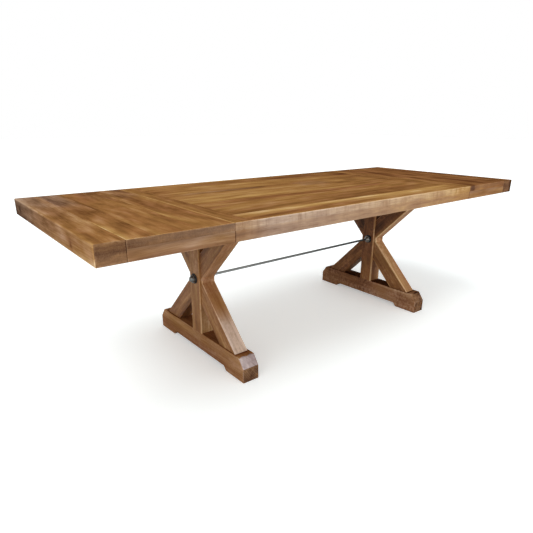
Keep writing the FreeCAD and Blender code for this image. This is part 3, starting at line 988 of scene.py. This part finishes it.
def table_screw_places():
    """Seats under the guide rails, runner keepers, middle batten and top rails."""
    guides = [node_limits("guide_rail_" + name)
              for name in ("front_outer", "front_inner", "back_inner", "back_outer")]
    lines = [middle(limits[1]) for limits in guides]
    keepers = [node_limits("runner_keeper_" + side) for side in SIDES]
    rails = [node_limits("trestle_%s_top_rail" % side) for side in SIDES]
    places = [(x, y, guides[0][2][0], SMALL_HEAD) for x in GUIDE_SCREWS for y in lines]
    places += [(middle(keeper[0]), y, keeper[2][0], SMALL_HEAD) for keeper in keepers for y in lines]
    places += [(0.0, y, node_limits("cross_battens")[2][0], SMALL_HEAD) for y in BATTEN_SCREWS]
    places += [(middle(rail[0]), y, rail[2][0], LARGE_HEAD) for rail in rails for y in TOP_RAIL_SCREWS]
    return places


def leaf_screw_places(side):
    """Two screws into each board of a leaf, under its batten."""
    boards = [node_limits("leaf_%s_board_%d" % (side, number)) for number in (1, 2, 3)]
    seat = node_limits("leaf_%s_batten" % side)[2][0]
    return [(middle(board[0]), y, seat, SMALL_HEAD) for board in boards for y in LEAF_BATTEN_SCREWS]


screw_iron = iron("screw_iron", [], (84, 82, 80), 0.40)
make_screws("table_screws", "table", table_screw_places(), screw_iron)
for side in SIDES:
    make_screws("leaf_%s_screws" % side, "leaf_" + side, leaf_screw_places(side), screw_iron)


# Camera at the photograph's viewpoint; lens and centre are in the photograph's pixels

IMAGE_SIZE = 533
IMAGE_MIDDLE = (IMAGE_SIZE - 1) / 2
LENS = 454.1
CENTRE_X, CENTRE_Y = 265.3, 281.2
CAMERA_PLACE = (-1.6988, -1.8160, 1.0969)
YAW, PITCH, ROLL = math.radians(38.66), math.radians(-19.42), math.radians(0.26)
SENSOR_WIDTH = 36.0
CLIP_END = 60.0


def look_matrix(place, yaw, pitch, roll):
    forward = Vector((math.sin(yaw) * math.cos(pitch), math.cos(yaw) * math.cos(pitch), math.sin(pitch)))
    level = Vector((math.cos(yaw), -math.sin(yaw), 0.0))
    upright = level.cross(forward)
    right = level * math.cos(roll) + upright * math.sin(roll)
    up = upright * math.cos(roll) - level * math.sin(roll)
    matrix = Matrix((right, up, -forward)).transposed().to_4x4()
    matrix.translation = Vector(place)
    return matrix


def make_camera():
    data = bpy.data.cameras.new("camera")
    data.sensor_fit = "HORIZONTAL"
    data.sensor_width = SENSOR_WIDTH
    data.lens = LENS / IMAGE_SIZE * SENSOR_WIDTH
    data.shift_x = (IMAGE_MIDDLE - CENTRE_X) / IMAGE_SIZE
    data.shift_y = (CENTRE_Y - IMAGE_MIDDLE) / IMAGE_SIZE
    data.clip_end = CLIP_END
    camera = bpy.data.objects.new("camera", data)
    scene.collection.objects.link(camera)
    camera.matrix_world = look_matrix(CAMERA_PLACE, YAW, PITCH, ROLL)
    scene.camera = camera


make_camera()


# Floor, light and background

FLOOR_HALF = 30.0
FLOOR_COLOUR = (0.880, 0.935, 0.937, 1.0)
FLOOR_GLOW = 0.365
WHITE = (1.0, 1.0, 1.0, 1.0)
SKY_LIGHT = 0.42
# Name, direction that the light comes from, strength and width in degrees
LAMPS = (("overhead", (-0.36, -0.04, 0.93), 0.40, 42), ("front", (0.30, -0.92, 0.25), 0.28, 50),
         ("left", (-0.84, -0.36, 0.42), 0.235, 40), ("back", (0.55, 0.60, 0.58), 0.12, 50))


def make_floor():
    """Pale floor, a little lighter to the camera than to the table."""
    mesh = bpy.data.meshes.new("floor")
    corners = [(x * FLOOR_HALF, y * FLOOR_HALF, 0) for x, y in ((-1, -1), (1, -1), (1, 1), (-1, 1))]
    mesh.from_pydata(corners, [], [(0, 1, 2, 3)])
    floor = bpy.data.objects.new("floor", mesh)
    scene.collection.objects.link(floor)
    material, t = make_material("floor")
    path = t.node("ShaderNodeLightPath")
    diffuse = t.node("ShaderNodeBsdfDiffuse")
    diffuse.inputs["Color"].default_value = FLOOR_COLOUR
    glow = t.node("ShaderNodeEmission")
    glow.inputs["Color"].default_value = WHITE
    t.put(glow.inputs["Strength"], Value(t, path.outputs["Is Camera Ray"]) * FLOOR_GLOW)
    both = t.node("ShaderNodeAddShader")
    for slot, shader in enumerate((diffuse, glow)):
        t.links.new(shader.outputs[0], both.inputs[slot])
    t.finish(both)
    mesh.materials.append(material)


def make_world():
    """White where it is seen, and dimmer as light."""
    world = bpy.data.worlds.new("studio")
    scene.world = world
    world.use_nodes = True
    t = Tree(world.node_tree)
    path = t.node("ShaderNodeLightPath")
    camera, through, gloss = [Value(t, path.outputs["Is %s Ray" % kind])
                              for kind in ("Camera", "Transmission", "Glossy")]
    strength = t.node("ShaderNodeMapRange")
    strength.inputs["To Min"].default_value = SKY_LIGHT
    strength.inputs["To Max"].default_value = 1.0
    t.put(strength.inputs["Value"], t.most(t.most(camera, through), gloss))
    back = t.node("ShaderNodeBackground")
    back.inputs["Color"].default_value = WHITE
    t.links.new(strength.outputs["Result"], back.inputs["Strength"])
    t.finish(back, "ShaderNodeOutputWorld")


def sun(name, toward, strength, angle):
    """Sun lamp that shines from a direction; strength is the light on a facing surface."""
    data = bpy.data.lights.new(name, "SUN")
    data.energy = strength * math.pi
    data.angle = math.radians(angle)
    lamp = bpy.data.objects.new(name, data)
    scene.collection.objects.link(lamp)
    lamp.rotation_euler = Vector(toward).to_track_quat("Z", "Y").to_euler()


make_floor()
make_world()
for name, toward, strength, angle in LAMPS:
    sun(name, toward, strength, angle)

scene.view_settings.view_transform = "Standard"
